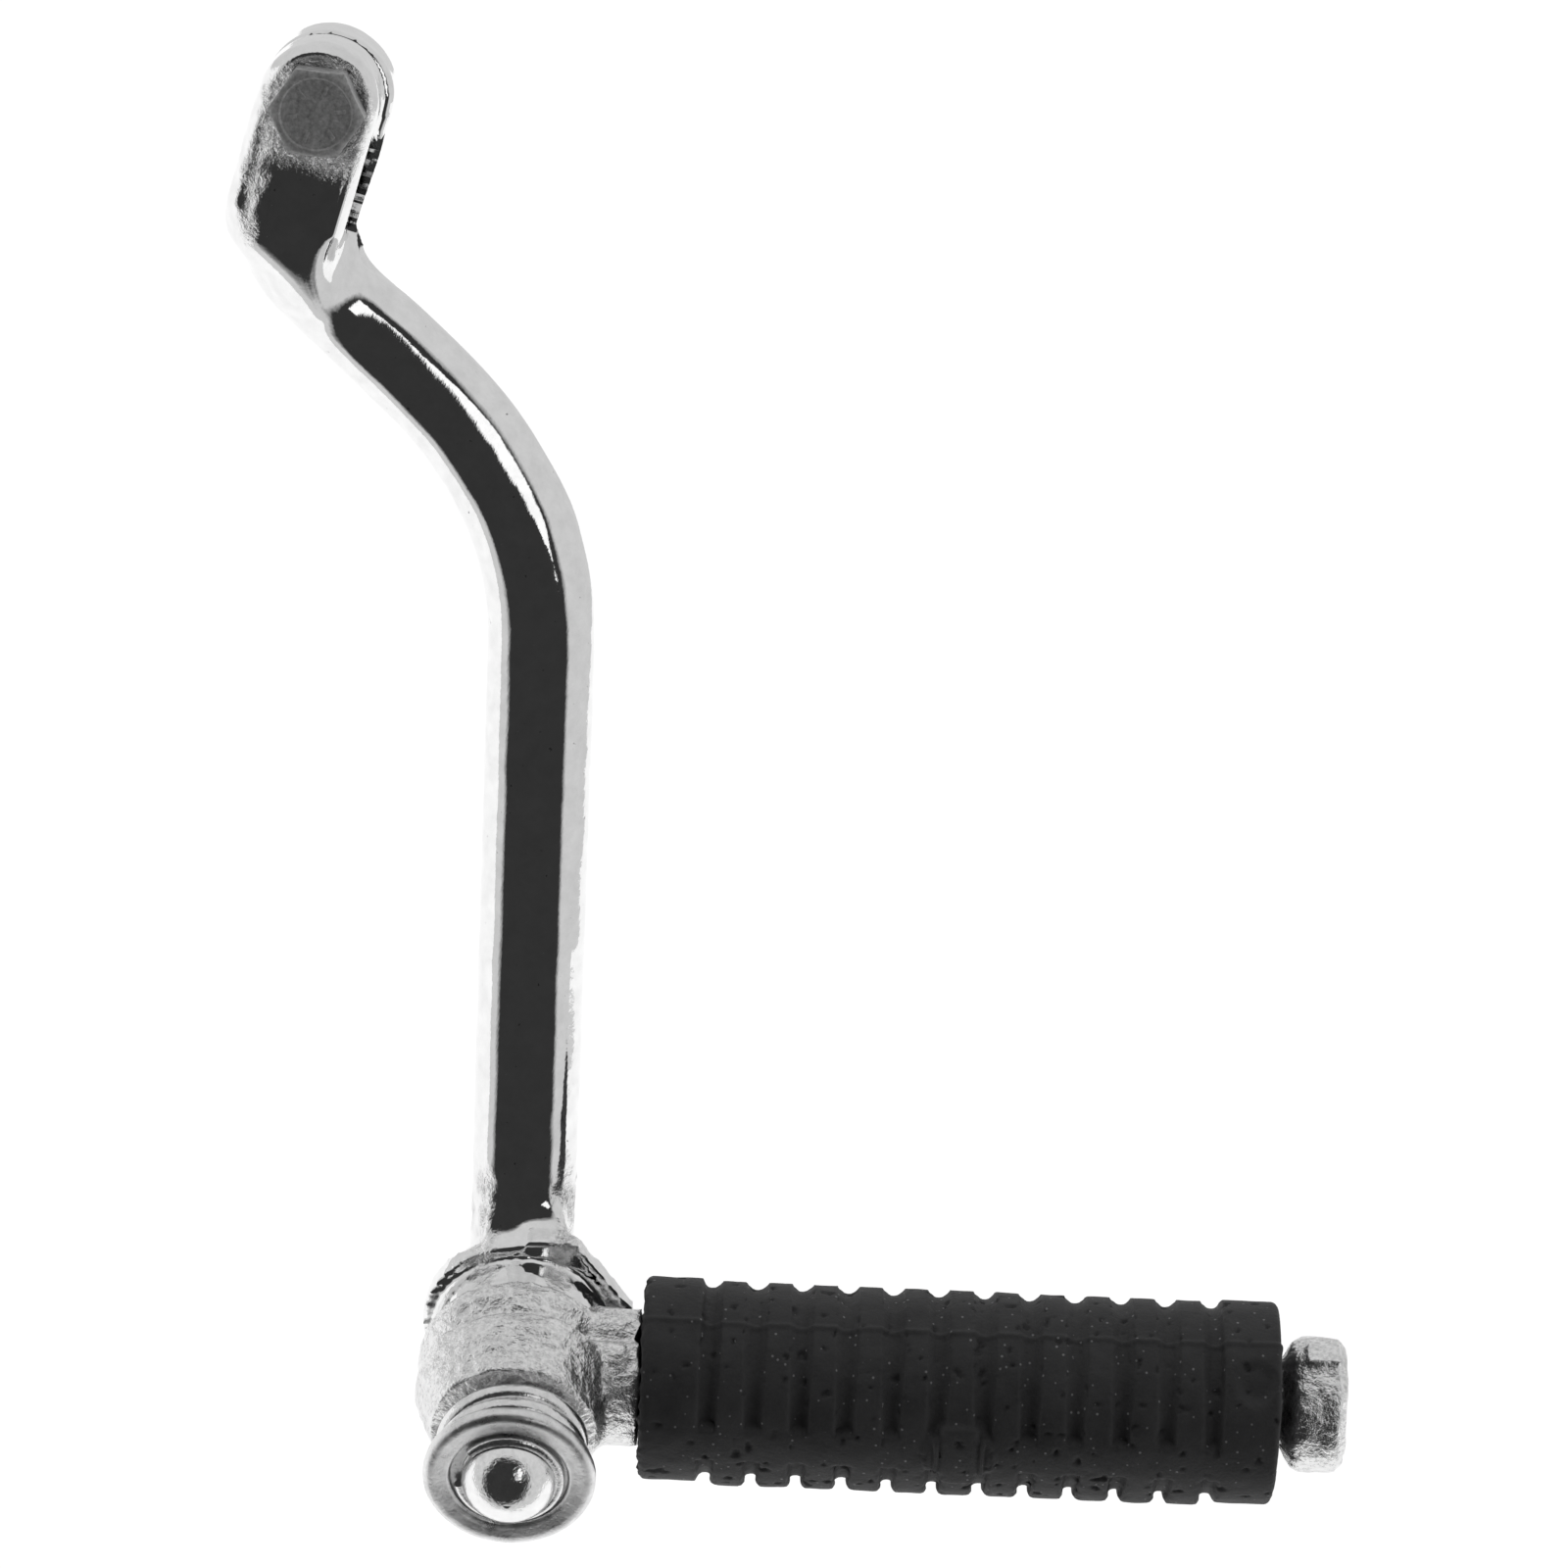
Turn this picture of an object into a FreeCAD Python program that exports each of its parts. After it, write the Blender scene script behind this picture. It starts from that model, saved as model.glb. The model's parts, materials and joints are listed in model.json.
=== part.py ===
import FreeCAD, Part
import math
import os
import Sketcher

# Kick start lever with a folding foot peg.
# Origin: centre of the serrated bore. +X runs along the bore towards the peg, +Z runs up through
# the pinch bolt, and the arm hangs down -Z. The pinch bolt's head and the peg are on the -Y side.
# Pieces on the pivot pin are drawn in the pin's own frame: +Z along the pin towards the spring,
# +X along the open peg, and the origin where the pin's axis meets the arm's centre line.

DRIVING_SIZES = [
    # clamp
    ("clamp_width", 17.0), ("clamp_depth", 25.0), ("clamp_corner_drop", 10.5), ("clamp_edge", 3.4),
    ("slit_width", 2.4), ("slit_drop", 12.0), ("bore_radius", 6.4), ("tooth_depth", 1.0),
    ("tooth_gap", 0.8), ("tooth_count", 32.0), ("bolt_height", 9.85), ("seat_depth", 1.2),
    ("seat_play", 0.55), ("taper_start", 4.0), ("taper_drop", 24.0),
    # pinch bolt
    ("bolt_radius", 3.5), ("bolt_clearance", 0.2), ("bolt_flats", 11.0), ("bolt_head_height", 4.8),
    ("bolt_turn", 11.0), ("bolt_chamfer", 0.6), ("bolt_proud", 1.0),
    # arm
    ("arm_width", 14.6), ("arm_depth", 12.0), ("arm_flat", 0.1), ("neck_angle", 63.0),
    ("neck_drop", 11.0), ("neck_inside", 1.2), ("arm_angle", 15.0), ("bend_radius", 46.0),
    ("pivot_reach", 73.7), ("pivot_drop", 144.0), ("arm_offset", 0.6),
    # boss and pin
    ("pin_tilt", 20.0), ("eye_wall", 2.9), ("boss_back", 6.5), ("boss_front", 12.2),
    ("web_back", 2.6), ("web_front", 5.6), ("web_rise", 15.0), ("web_tip_reach", 15.5),
    ("web_tip_rise", 2.4), ("ramp_rise", 16.8), ("arm_corner_cut", 3.0),
    ("pin_radius", 6.4), ("pin_clearance", 0.05),
    ("dome_rise", 4.4), ("dome_shoulder", 0.5), ("lug_wall", 2.2), ("lug_width", 3.0),
    ("lug_height", 2.6), ("lug_angle", 50.0), ("lug_start", 65.0), ("lug_clearance", 0.3),
    ("fold_angle", 90.0),
    # foot peg
    ("face_gap", 0.05), ("hub_wall", 2.0), ("hub_length", 16.0), ("hub_rim", 9.0),
    ("hub_nose_wall", 5.0), ("rod_offset", 3.3), ("rod_radius", 6.0), ("neck_outer", 9.6),
    ("neck_length", 3.0), ("head_gap", 0.9), ("head_radius", 9.4), ("head_length", 9.0),
    ("head_edge", 1.4), ("head_tab_width", 5.0), ("head_tab_rise", 0.7),
    # peg rubber
    ("rubber_gap", 0.3), ("rubber_length", 86.8), ("rubber_wall", 7.9), ("groove_depth", 1.3),
    ("groove_count", 12.0), ("rib_pitch", 6.25), ("rib_top", 3.6), ("groove_floor", 1.6),
    ("plain_band_angle", 24.0), ("plain_band_place", 90.0), ("end_lip", 0.5),
    # spring, plate and ring
    ("spring_wire", 2.7), ("spring_play", 1.25), ("spring_turns", 1.6), ("spring_gap", 7.4),
    ("plate_rim", 2.7), ("plate_thickness", 2.3), ("plate_edge", 0.6),
    ("recess_play", 0.4), ("recess_depth", 1.3), ("ring_wire", 1.5), ("ring_bite", 0.35),
    ("ring_opening", 50.0), ("ring_place", 190.0),
]


class Size:
    """A length or angle that knows its number and the formula that gives it in the sheet."""

    def __init__(self, formula, number):
        self.formula = formula
        self.number = float(number)

    def _joined(self, sign, other, number):
        return Size("(%s %s %s)" % (self.formula, sign, other.formula), number)

    def __add__(self, other):
        other = as_size(other)
        return self._joined("+", other, self.number + other.number)

    def __sub__(self, other):
        other = as_size(other)
        return self._joined("-", other, self.number - other.number)

    def __mul__(self, other):
        other = as_size(other)
        return self._joined("*", other, self.number * other.number)

    def __truediv__(self, other):
        other = as_size(other)
        return self._joined("/", other, self.number / other.number)

    def __neg__(self):
        return Size("(0 - %s)" % self.formula, -self.number)


def as_size(value):
    return value if isinstance(value, Size) else Size("%.10g" % value, value)


def sine(angle):
    return Size("sin(%s)" % angle.formula, math.sin(math.radians(angle.number)))


def cosine(angle):
    return Size("cos(%s)" % angle.formula, math.cos(math.radians(angle.number)))


def tangent(angle):
    return sine(angle) / cosine(angle)


def make_sheet(document):
    sheet = document.addObject("Spreadsheet::Sheet", "Sizes")
    for row, (name, number) in enumerate(DRIVING_SIZES, start=1):
        sheet.set("A%d" % row, name)
        sheet.set("B%d" % row, "%.10g" % number)
        sheet.setAlias("B%d" % row, name)
    return {name: Size("Sizes." + name, number) for name, number in DRIVING_SIZES}


doc = FreeCAD.newDocument("kick_lever")
size = make_sheet(doc)
doc.recompute()

# ---------------------------------------------------------------- drawing helpers


def new_body(label):
    body = doc.addObject("PartDesign::Body", label)
    body.Label = label
    return body


def place(item, property_name, base, turns):
    """Bind a placement: base is three sizes, turns are (axis letter, angle) pairs, outermost first."""
    spin = " * ".join("rotation%s(%s)" % (axis, as_size(angle).formula) for axis, angle in turns)
    corner = "; ".join(as_size(value).formula for value in base)
    item.setExpression(property_name, "placement(vector(%s); %s)" % (corner, spin))


def new_sketch(body, name, plane, base=(0, 0, 0), turns=(("z", 0),)):
    sketch = body.newObject("Sketcher::SketchObject", name)
    support = [item for item in body.Origin.OriginFeatures if item.Role == plane][0]
    sketch.AttachmentSupport = (support, "")
    sketch.MapMode = "FlatFace"
    place(sketch, "AttachmentOffset", base, turns)
    return sketch


def bind(sketch, constraint, value):
    index = sketch.addConstraint(constraint)
    sketch.setExpression("Constraints[%d]" % index, value.formula)


def fix_point(sketch, edge, end, across, along):
    bind(sketch, Sketcher.Constraint("DistanceX", edge, end, across.number), across)
    bind(sketch, Sketcher.Constraint("DistanceY", edge, end, along.number), along)


def vector(across, along):
    return FreeCAD.Vector(across.number, along.number, 0)


def draw_outline(sketch, points):
    """Closed outline of straight edges through (across, along) pairs of sizes."""
    points = [(as_size(across), as_size(along)) for across, along in points]
    first = sketch.GeometryCount
    for index, (across, along) in enumerate(points):
        following = points[(index + 1) % len(points)]
        sketch.addGeometry(Part.LineSegment(vector(across, along), vector(*following)), False)
    for index, (across, along) in enumerate(points):
        before = first + (index - 1) % len(points)
        sketch.addConstraint(Sketcher.Constraint("Coincident", before, 2, first + index, 1))
        fix_point(sketch, first + index, 1, across, along)


def draw_circle(sketch, across, along, radius):
    across, along, radius = as_size(across), as_size(along), as_size(radius)
    flat = FreeCAD.Vector(0, 0, 1)
    edge = sketch.addGeometry(Part.Circle(vector(across, along), flat, radius.number), False)
    fix_point(sketch, edge, 3, across, along)
    bind(sketch, Sketcher.Constraint("Radius", edge, radius.number), radius)


def draw_arc(sketch, centre, radius, start_angle, end_angle):
    """Counter-clockwise arc, angles in degrees as plain numbers; only its centre is fixed here."""
    circle = Part.Circle(vector(*centre), FreeCAD.Vector(0, 0, 1), radius.number)
    arc = Part.ArcOfCircle(circle, math.radians(start_angle), math.radians(end_angle))
    edge = sketch.addGeometry(arc, False)
    fix_point(sketch, edge, 3, *centre)
    bind(sketch, Sketcher.Constraint("Radius", edge, radius.number), radius)
    return edge


def draw_rounded_box(sketch, width, depth, corner):
    """Rounded rectangle about the sketch's origin: four tangent corner arcs and four sides."""
    across = width / 2 - corner
    along = depth / 2 - corner
    quarters = [(across, along, 0), (-across, along, 90), (-across, -along, 180), (across, -along, 270)]
    arcs = [draw_arc(sketch, (x, y), corner, turn, turn + 90) for x, y, turn in quarters]
    for index, arc in enumerate(arcs):
        following = arcs[(index + 1) % 4]
        start = sketch.Geometry[arc].EndPoint
        end = sketch.Geometry[following].StartPoint
        side = sketch.addGeometry(Part.LineSegment(start, end), False)
        sketch.addConstraint(Sketcher.Constraint("Tangent", arc, 2, side, 1))
        sketch.addConstraint(Sketcher.Constraint("Tangent", side, 2, following, 1))


def pad(body, sketch, name, length, midplane=False, backwards=False):
    feature = body.newObject("PartDesign::Pad", name)
    feature.Profile = sketch
    feature.setExpression("Length", as_size(length).formula)
    feature.Midplane = midplane
    feature.Reversed = backwards
    return feature


def pocket(body, sketch, name, length, midplane=False, backwards=False):
    feature = body.newObject("PartDesign::Pocket", name)
    feature.Profile = sketch
    feature.setExpression("Length", as_size(length).formula)
    feature.Midplane = midplane
    feature.Reversed = backwards
    return feature


def revolve(body, sketch, name, kind, axis="V_Axis", angle=None):
    feature = body.newObject("PartDesign::" + kind, name)
    feature.Profile = sketch
    feature.ReferenceAxis = (sketch, [axis])
    feature.Angle = 360
    if angle is not None:
        feature.setExpression("Angle", angle.formula)
    return feature


# ---------------------------------------------------------------- shared places

half_width = size["clamp_width"] / 2
half_depth = size["clamp_depth"] / 2
bolt_seat = half_depth - size["seat_depth"]
bolt_corner = size["bolt_flats"] / 2 / cosine(as_size(30))
seat_radius = bolt_corner + size["seat_play"]
arm_corner = size["arm_depth"] / 2 - size["arm_flat"]
neck_radius = size["arm_width"] / 2 + size["neck_inside"]
eye_radius = size["pin_radius"] + size["eye_wall"]
lug_inner = size["pin_radius"] + size["lug_wall"]
lug_outer = lug_inner + size["lug_width"]
boss_radius = lug_outer + size["lug_clearance"]
hub_radius = boss_radius + size["hub_wall"]
hub_back = size["boss_front"] + size["face_gap"]
hub_front = hub_back + size["hub_length"]
rod_depth = hub_back + size["rod_offset"]
neck_end = hub_radius + size["neck_length"]
rubber_start = neck_end + size["rubber_gap"]
rubber_end = rubber_start + size["rubber_length"]
rubber_radius = size["rod_radius"] + size["rubber_wall"]
spring_centre = size["pin_radius"] + size["spring_play"] + size["spring_wire"] / 2
plate_radius = spring_centre + size["plate_rim"]
plate_back = hub_front + size["spring_gap"]
plate_front = plate_back + size["plate_thickness"]
ring_centre = size["pin_radius"] + size["ring_wire"] / 2 - size["ring_bite"]
ring_depth = plate_front - size["recess_depth"] + size["ring_wire"] / 2
recess_radius = ring_centre + size["ring_wire"] / 2 + size["recess_play"]
pivot = (size["pivot_reach"], 0, -size["pivot_drop"])
lug_sweep = size["lug_angle"] + size["lug_clearance"] * 2 + size["fold_angle"]

# How far a cutting shape reaches past the face it starts from.
OVERSHOOT = 1

# Rotations, outermost first, that carry the global frame to the pin's frame.
PIN_TURNS = (("y", -size["arm_angle"]), ("x", size["pin_tilt"] + 90))


# ---------------------------------------------------------------- lever arm


def clamp_block(body):
    """Flat block with a half-round top, concentric with the pinch bolt."""
    sketch = new_sketch(body, "clamp_outline", "XZ_Plane")
    bolt = size["bolt_height"]
    low_left = -size["clamp_corner_drop"]
    slope = cosine(size["neck_angle"]) / sine(size["neck_angle"])
    low_right = low_left - size["clamp_width"] * slope
    corners = [(-half_width, bolt), (-half_width, low_left), (half_width, low_right), (half_width, bolt)]
    sides = []
    for start, end in zip(corners, corners[1:]):
        sides.append(sketch.addGeometry(Part.LineSegment(vector(*start), vector(*end)), False))
    top = draw_arc(sketch, (as_size(0), bolt), half_width, 0, 180)
    for left, right in zip(sides, sides[1:]):
        sketch.addConstraint(Sketcher.Constraint("Coincident", left, 2, right, 1))
    sketch.addConstraint(Sketcher.Constraint("Tangent", sides[2], 2, top, 1))
    sketch.addConstraint(Sketcher.Constraint("Tangent", top, 2, sides[0], 1))
    fix_point(sketch, sides[1], 1, *corners[1])
    fix_point(sketch, sides[1], 2, *corners[2])
    block = pad(body, sketch, "clamp_block", size["clamp_depth"], midplane=True)
    doc.recompute()
    rims = []
    for index, edge in enumerate(block.Shape.Edges, start=1):
        box = edge.BoundBox
        if box.YLength < 0.01:
            rims.append("Edge%d" % index)
    fillet = body.newObject("PartDesign::Fillet", "clamp_rims")
    fillet.Base = (block, rims)
    fillet.setExpression("Radius", size["clamp_edge"].formula)


def clamp_taper(body):
    """Slopes both broad faces from the clamp's depth down to the arm's depth."""
    for side in (-1, 1):
        sketch = new_sketch(body, "taper_%s" % ("front" if side < 0 else "back"), "YZ_Plane")
        outer = (half_depth + 2) * side
        inner = size["arm_depth"] / 2 * side
        edge = half_depth * side
        low = -size["taper_drop"]
        draw_outline(sketch, [(edge, -size["taper_start"]), (outer, -size["taper_start"]),
                              (outer, low * 1.5), (inner, low * 1.5), (inner, low)])
        pocket(body, sketch, sketch.Label + "_cut", size["clamp_width"] * 2, midplane=True)


def polar_angle(point, centre):
    return math.atan2(point.y - centre.y, point.x - centre.x)


def draw_centre_line(sketch, points, radii):
    """Straight runs through the points, joined in order by tangent arcs of the given radii."""
    corners = [vector(*point) for point in points]
    run_start = corners[0]
    run = None
    for index, radius in enumerate(radii, start=1):
        corner = corners[index]
        back = (corners[index - 1] - corner).normalize()
        ahead = (corners[index + 1] - corner).normalize()
        half = back.getAngle(ahead) / 2
        arc_start = corner + back * (radius.number / math.tan(half))
        arc_end = corner + ahead * (radius.number / math.tan(half))
        centre = corner + (back + ahead).normalize() * (radius.number / math.sin(half))
        turns_left = back.cross(ahead).z < 0
        first, last = (arc_start, arc_end) if turns_left else (arc_end, arc_start)
        circle = Part.Circle(centre, FreeCAD.Vector(0, 0, 1), radius.number)
        sweep = Part.ArcOfCircle(circle, polar_angle(first, centre), polar_angle(last, centre))
        near, far = (1, 2) if turns_left else (2, 1)
        previous_bend = None if run is None else (bend, far_end)
        run = sketch.addGeometry(Part.LineSegment(run_start, arc_start), False)
        if previous_bend is None:
            fix_point(sketch, run, 1, *points[0])
        else:
            sketch.addConstraint(Sketcher.Constraint("Tangent", previous_bend[0], previous_bend[1], run, 1))
        bend = sketch.addGeometry(sweep, False)
        far_end = far
        sketch.addConstraint(Sketcher.Constraint("Tangent", run, 2, bend, near))
        bind(sketch, Sketcher.Constraint("Radius", bend, radius.number), radius)
        run_start = arc_end
    run = sketch.addGeometry(Part.LineSegment(run_start, corners[-1]), False)
    sketch.addConstraint(Sketcher.Constraint("Tangent", bend, far_end, run, 1))
    fix_point(sketch, run, 2, *points[-1])
    for index, corner in enumerate(points[1:-1]):
        mark = sketch.addGeometry(Part.Point(vector(*corner)), True)
        fix_point(sketch, mark, 1, *corner)
        sketch.addConstraint(Sketcher.Constraint("PointOnObject", mark, 1, index * 2))
        sketch.addConstraint(Sketcher.Constraint("PointOnObject", mark, 1, index * 2 + 2))


def arm_shank(body):
    """Rounded bar swept down the arm's centre line, from inside the clamp to the pivot."""
    start_drop = size["taper_start"] / 2
    section = new_sketch(body, "arm_section", "XY_Plane", base=(0, 0, -start_drop))
    draw_rounded_box(section, size["arm_width"], size["arm_depth"], arm_corner)
    path = new_sketch(body, "arm_centre_line", "XZ_Plane")
    fall_neck = as_size(1) / tangent(size["neck_angle"])
    fall_arm = as_size(1) / tangent(size["arm_angle"])
    reach = size["pivot_reach"] - size["arm_offset"]
    straight_drop = size["pivot_drop"] - size["neck_drop"] - reach * fall_arm
    elbow_reach = straight_drop / (fall_neck - fall_arm)
    elbow_drop = size["neck_drop"] + elbow_reach * fall_neck
    points = [(as_size(0), -start_drop), (as_size(0), -size["neck_drop"]),
              (elbow_reach, -elbow_drop), (reach, -size["pivot_drop"])]
    draw_centre_line(path, points, [neck_radius, size["bend_radius"]])
    shank = body.newObject("PartDesign::AdditivePipe", "arm_shank")
    shank.Profile = section
    shank.Spine = path


def pin_plane(depth, extra=()):
    """Base and turns that put a sketch of XZ_Plane across the pin at a depth along it."""
    # In XZ_Plane's own axes the arm plane's Y is its -Z, so the pin's frame is two turns away.
    lean = size["arm_angle"]
    tilt = size["pin_tilt"]
    along = as_size(depth)
    base = (size["pivot_reach"] + along * sine(tilt) * sine(lean),
            -size["pivot_drop"] - along * sine(tilt) * cosine(lean), along * cosine(tilt))
    return base, (("z", lean), ("x", tilt)) + tuple(extra)


def boss_step(body, name, radius, back, front):
    """Round step of the boss, between two depths along the pin."""
    circle = new_sketch(body, name + "_circle", "XZ_Plane", *pin_plane(back))
    draw_circle(circle, 0, 0, radius)
    pad(body, circle, name, front - back)


def pivot_boss(body):
    """Eye behind the arm, a flat web out to both sides, and the round face the hub turns on."""
    boss_step(body, "eye", eye_radius, -size["boss_back"], size["web_back"])
    boss_step(body, "web_disc", hub_radius, size["web_back"], size["web_front"])
    boss_step(body, "boss", boss_radius, size["web_front"], size["boss_front"])
    web = new_sketch(body, "web_outline", "XZ_Plane", *pin_plane(size["web_back"]))
    side = size["arm_width"] / 2
    draw_outline(web, [(0, size["web_rise"]), (side, size["web_rise"]),
                       (size["web_tip_reach"], size["web_tip_rise"]),
                       (size["web_tip_reach"] - OVERSHOOT, 0), (0, 0)])
    pad(body, web, "web", size["web_front"] - size["web_back"])
    base, turns = pin_plane(0, (("y", -90),))
    ramp = new_sketch(body, "ramp_outline", "XZ_Plane", base, turns)
    draw_outline(ramp, [(0, 0), (size["web_front"], 0), (size["web_front"], boss_radius),
                        (0, size["ramp_rise"])])
    pad(body, ramp, "ramp", size["arm_width"] - size["arm_corner_cut"], midplane=True)


def stop_lug(body):
    """Raised sector on the boss's face, which the hub's pocket turns round."""
    base, turns = pin_plane(0, (("z", size["lug_start"]), ("x", 90)))
    sketch = new_sketch(body, "lug_section", "XZ_Plane", base, turns)
    low = size["boss_front"] - OVERSHOOT
    high = size["boss_front"] + size["lug_height"]
    draw_outline(sketch, [(lug_inner, low), (lug_outer, low), (lug_outer, high), (lug_inner, high)])
    revolve(body, sketch, "stop_lug", "Revolution", angle=size["lug_angle"])


def arm_holes(body):
    back = half_depth + OVERSHOOT
    slit = new_sketch(body, "slit_outline", "YZ_Plane")
    edge = size["slit_width"] / 2
    top = size["bolt_height"] + half_width + OVERSHOOT
    draw_outline(slit, [(-edge, -size["slit_drop"]), (edge, -size["slit_drop"]), (edge, top), (-edge, top)])
    pocket(body, slit, "clamp_slit", size["clamp_width"] * 2, midplane=True)
    bore = new_sketch(body, "bore_circle", "YZ_Plane")
    draw_circle(bore, 0, 0, size["bore_radius"])
    pocket(body, bore, "bore", size["clamp_width"], midplane=True)
    seat = new_sketch(body, "seat_outline", "XZ_Plane", (0, 0, bolt_seat), (("z", 0),))
    foot = -size["taper_drop"]
    draw_slot(seat, seat_radius, size["bolt_height"], foot)
    pocket(body, seat, "bolt_seat", size["seat_depth"] * 2, backwards=True)
    pin = new_sketch(body, "pin_hole_circle", "XZ_Plane", *pin_plane(-size["boss_back"] - OVERSHOOT))
    draw_circle(pin, 0, 0, size["pin_radius"])
    depth = size["boss_back"] + size["boss_front"] + OVERSHOOT * 2
    pocket(body, pin, "pin_hole", depth, backwards=True)
    for name, radius, backwards in (("clear", size["bolt_radius"] + size["bolt_clearance"], False),
                                    ("tapped", size["bolt_radius"], True)):
        hole = new_sketch(body, "bolt_%s_circle" % name, "XZ_Plane")
        draw_circle(hole, 0, size["bolt_height"], radius)
        pocket(body, hole, "bolt_hole_" + name, back, backwards=not backwards)
    tooth_gaps(body)


def draw_slot(sketch, radius, top, bottom):
    """Upright slot: half-round top about (0, top), straight sides down to a flat bottom."""
    left = sketch.addGeometry(Part.LineSegment(vector(-radius, top), vector(-radius, bottom)), False)
    floor = sketch.addGeometry(Part.LineSegment(vector(-radius, bottom), vector(radius, bottom)), False)
    right = sketch.addGeometry(Part.LineSegment(vector(radius, bottom), vector(radius, top)), False)
    crown = draw_arc(sketch, (as_size(0), top), radius, 0, 180)
    sketch.addConstraint(Sketcher.Constraint("Coincident", left, 2, floor, 1))
    sketch.addConstraint(Sketcher.Constraint("Coincident", floor, 2, right, 1))
    sketch.addConstraint(Sketcher.Constraint("Tangent", right, 2, crown, 1))
    sketch.addConstraint(Sketcher.Constraint("Tangent", crown, 2, left, 1))
    fix_point(sketch, floor, 1, -radius, bottom)
    fix_point(sketch, floor, 2, radius, bottom)


def tooth_gaps(body):
    """One V groove in the bore's wall, then a ring of them."""
    sketch = new_sketch(body, "tooth_gap_outline", "YZ_Plane")
    half = size["tooth_gap"] / 2
    mouth = size["bore_radius"] - size["tooth_depth"] / 2
    root_depth = size["bore_radius"] + size["tooth_depth"]
    draw_outline(sketch, [(mouth, -half), (size["bore_radius"], -half), (root_depth, 0),
                          (size["bore_radius"], half), (mouth, half)])
    gap = pocket(body, sketch, "tooth_gap_cut", size["clamp_width"], midplane=True)
    doc.recompute()
    ring = body.newObject("PartDesign::PolarPattern", "tooth_gaps")
    ring.Originals = [gap]
    ring.Axis = (sketch, ["N_Axis"])
    ring.Angle = 360
    ring.setExpression("Occurrences", size["tooth_count"].formula)
    body.Tip = ring


def lever_arm():
    body = new_body("lever_arm")
    clamp_block(body)
    clamp_taper(body)
    arm_shank(body)
    pivot_boss(body)
    stop_lug(body)
    arm_holes(body)
    return body


# ---------------------------------------------------------------- clamp and pin pieces


def pinch_bolt():
    """Hexagon bolt along +Y: its head bears on the seat and its thread ends behind the clamp."""
    body = new_body("pinch_bolt")
    head = new_sketch(body, "head_outline", "XZ_Plane")
    turns = [size["bolt_turn"] + as_size(60 * count) for count in range(6)]
    draw_outline(head, [(bolt_corner * cosine(turn), bolt_corner * sine(turn)) for turn in turns])
    pad(body, head, "head", size["bolt_head_height"])
    shank = new_sketch(body, "shank_circle", "XZ_Plane")
    draw_circle(shank, 0, 0, size["bolt_radius"])
    length = bolt_seat + half_depth + size["bolt_proud"]
    pad(body, shank, "shank", length, backwards=True)
    bevel = new_sketch(body, "head_chamfer_section", "XY_Plane")
    face = -size["bolt_head_height"]
    inner = size["bolt_flats"] / 2 - size["bolt_chamfer"] / 2
    outer = bolt_corner + OVERSHOOT
    back = face + (outer - inner) * size["bolt_chamfer"]
    draw_outline(bevel, [(inner, face - OVERSHOOT), (inner, face), (outer, back), (outer, face - OVERSHOOT)])
    revolve(body, bevel, "head_chamfer", "Groove")
    place(body, "Placement", (0, -bolt_seat, size["bolt_height"]), (("z", 0),))
    return body


def pivot_pin():
    """Domed pin: pressed and headed in the boss, with a groove for the snap ring."""
    body = new_body("pivot_pin")
    sketch = new_sketch(body, "pin_section", "XZ_Plane")
    radius = size["pin_radius"]
    foot = -size["boss_back"]
    shoulder = plate_front + size["dome_shoulder"]
    dome_radius = (radius * radius + size["dome_rise"] * size["dome_rise"]) / (size["dome_rise"] * 2)
    peak = shoulder + size["dome_rise"]
    centre = peak - dome_radius
    corners = [(as_size(0), peak), (as_size(0), foot), (radius, foot), (radius, shoulder)]
    edges = []
    for start, end in zip(corners, corners[1:]):
        edges.append(sketch.addGeometry(Part.LineSegment(vector(*start), vector(*end)), False))
    low_angle = math.degrees(math.atan2(shoulder.number - centre.number, radius.number))
    dome = draw_arc(sketch, (as_size(0), centre), dome_radius, low_angle, 90)
    for edge, following in zip(edges, edges[1:]):
        sketch.addConstraint(Sketcher.Constraint("Coincident", edge, 2, following, 1))
    sketch.addConstraint(Sketcher.Constraint("Coincident", edges[2], 2, dome, 1))
    sketch.addConstraint(Sketcher.Constraint("Coincident", dome, 2, edges[0], 1))
    fix_point(sketch, edges[1], 1, *corners[1])
    fix_point(sketch, edges[1], 2, *corners[2])
    sketch.addConstraint(Sketcher.Constraint("Vertical", edges[2]))
    sketch.addConstraint(Sketcher.Constraint("Vertical", edges[0]))
    revolve(body, sketch, "pin", "Revolution")
    groove = new_sketch(body, "ring_groove_section", "XZ_Plane")
    draw_circle(groove, ring_centre, ring_depth, size["ring_wire"] / 2)
    revolve(body, groove, "ring_groove", "Groove")
    place(body, "Placement", pivot, PIN_TURNS)
    return body


def snap_ring():
    """Round-wire ring, open at one side, sprung into the pin's groove."""
    body = new_body("snap_ring")
    sketch = new_sketch(body, "wire_circle", "XZ_Plane", turns=(("y", size["ring_place"]),))
    draw_circle(sketch, ring_centre, ring_depth, size["ring_wire"] / 2)
    revolve(body, sketch, "ring", "Revolution", angle=as_size(360) - size["ring_opening"])
    place(body, "Placement", pivot, PIN_TURNS)
    return body


def spring_plate():
    """Round plate with a recess for the snap ring and rounded rims."""
    body = new_body("spring_plate")
    sketch = new_sketch(body, "plate_section", "XZ_Plane")
    bore = size["pin_radius"] + size["pin_clearance"]
    floor = plate_front - size["recess_depth"]
    rim = plate_radius
    edge = size["plate_edge"]
    draw_outline(sketch, [(bore, plate_back), (rim - edge, plate_back), (rim, plate_back + edge),
                          (rim, plate_front - edge), (rim - edge, plate_front),
                          (recess_radius, plate_front), (recess_radius, floor), (bore, floor)])
    revolve(body, sketch, "plate", "Revolution")
    place(body, "Placement", pivot, PIN_TURNS)
    return body


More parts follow.
